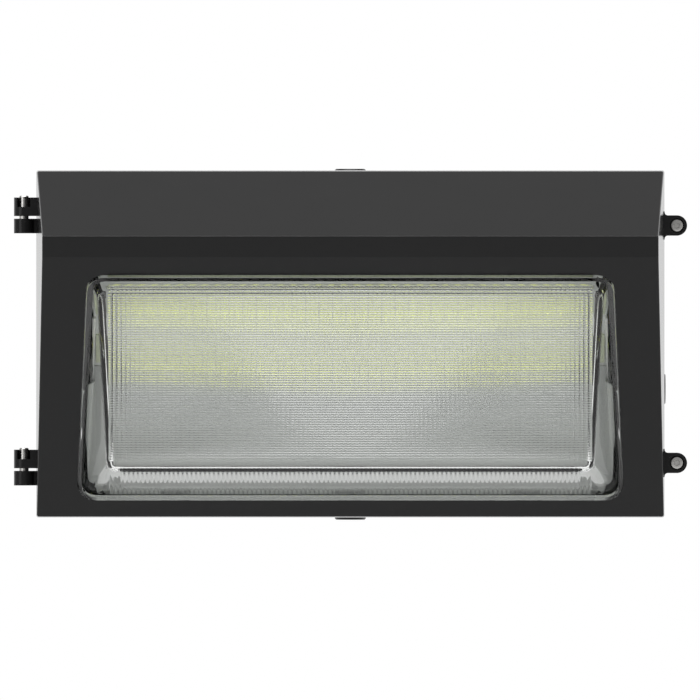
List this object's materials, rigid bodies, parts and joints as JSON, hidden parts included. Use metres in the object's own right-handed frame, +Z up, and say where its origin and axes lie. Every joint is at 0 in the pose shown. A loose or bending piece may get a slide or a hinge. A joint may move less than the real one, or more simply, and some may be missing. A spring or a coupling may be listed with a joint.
{
  "type": "wall pack light",
  "caption": "Outdoor wall pack light: a drafted box on the wall and a hooded door, hinged on the left, with a wedge-shaped prismatic glass lens over LED boards",
  "frame": {"origin": "centre of the back face, on the wall, in the middle of the four anchor holes", "axes": "+X to the right of somebody who faces the light, +Y into the wall, +Z up; the light stands out from the wall towards -Y"},
  "size_m": [0.4606, 0.1899, 0.2405],
  "materials": {
    "painted_casting": "die-cast, smooth dark bronze-grey gloss paint",
    "painted_plug": "die-cast, dark gloss paint",
    "lens_glass": "clear pressed glass",
    "gasket_rubber": "matt silicone rubber",
    "stainless_steel": "plain stainless steel",
    "white_sheet": "satin white paint on sheet aluminium",
    "board_white": "white solder mask",
    "led_phosphor": "yellow phosphor under silicone",
    "white_plastic": "moulded white plastic",
    "driver_metal": "bare rolled aluminium",
    "potting_compound": "matt grey-black resin",
    "lead_red": "satin wire insulation",
    "lead_black": "satin wire insulation",
    "lead_white": "satin wire insulation",
    "lead_green": "satin wire insulation",
    "nut_orange": "moulded plastic",
    "terminal_brass": "plain stamped brass",
    "earth_green_steel": "green passivated steel"
  },
  "bodies": {
    "housing": {"back_housing": "painted_casting", "conduit_plugs": "painted_plug", "rim_gasket": "gasket_rubber", "wall_gasket": "gasket_rubber", "lead_grommet": "gasket_rubber", "hinge_pins": "stainless_steel", "tray_screws": "stainless_steel", "board_screws": "stainless_steel", "driver_screws": "stainless_steel", "led_tray": "white_sheet", "reflector": "white_sheet", "led_board_upper": "board_white", "led_board_lower": "board_white", "led_chips_upper": "led_phosphor", "led_chips_lower": "led_phosphor", "board_connector": "white_plastic", "tray_clips": "white_plastic", "driver_case": "driver_metal", "driver_lid": "driver_metal", "driver_potting": "potting_compound", "output_lead_red": "lead_red", "output_lead_black": "lead_black", "supply_lead_black": "lead_black", "supply_lead_white": "lead_white", "earth_lead": "lead_green", "wire_nuts": "nut_orange", "ground_terminal": "terminal_brass", "ground_screw": "earth_green_steel"},
    "door": {"door_frame": "painted_casting", "lens": "lens_glass", "lens_gasket": "gasket_rubber", "lens_clips": "stainless_steel", "lens_clip_screws": "stainless_steel"},
    "screw_upper": {"captive_screw_upper": "stainless_steel"},
    "screw_lower": {"captive_screw_lower": "stainless_steel"}
  },
  "joints": [
    {"name": "door_hinge", "type": "hinge", "parent": "housing", "child": "door", "pos_m": [-0.2235, -0.0653, 0], "axis": [0, 0, -1], "range_deg": [0, 115]},
    {"name": "upper_screw_slide", "type": "slide", "parent": "door", "child": "screw_upper", "axis": [0, -1, 0], "range_m": [0, 0.008]},
    {"name": "lower_screw_slide", "type": "slide", "parent": "door", "child": "screw_lower", "axis": [0, -1, 0], "range_m": [0, 0.008]}
  ]
}
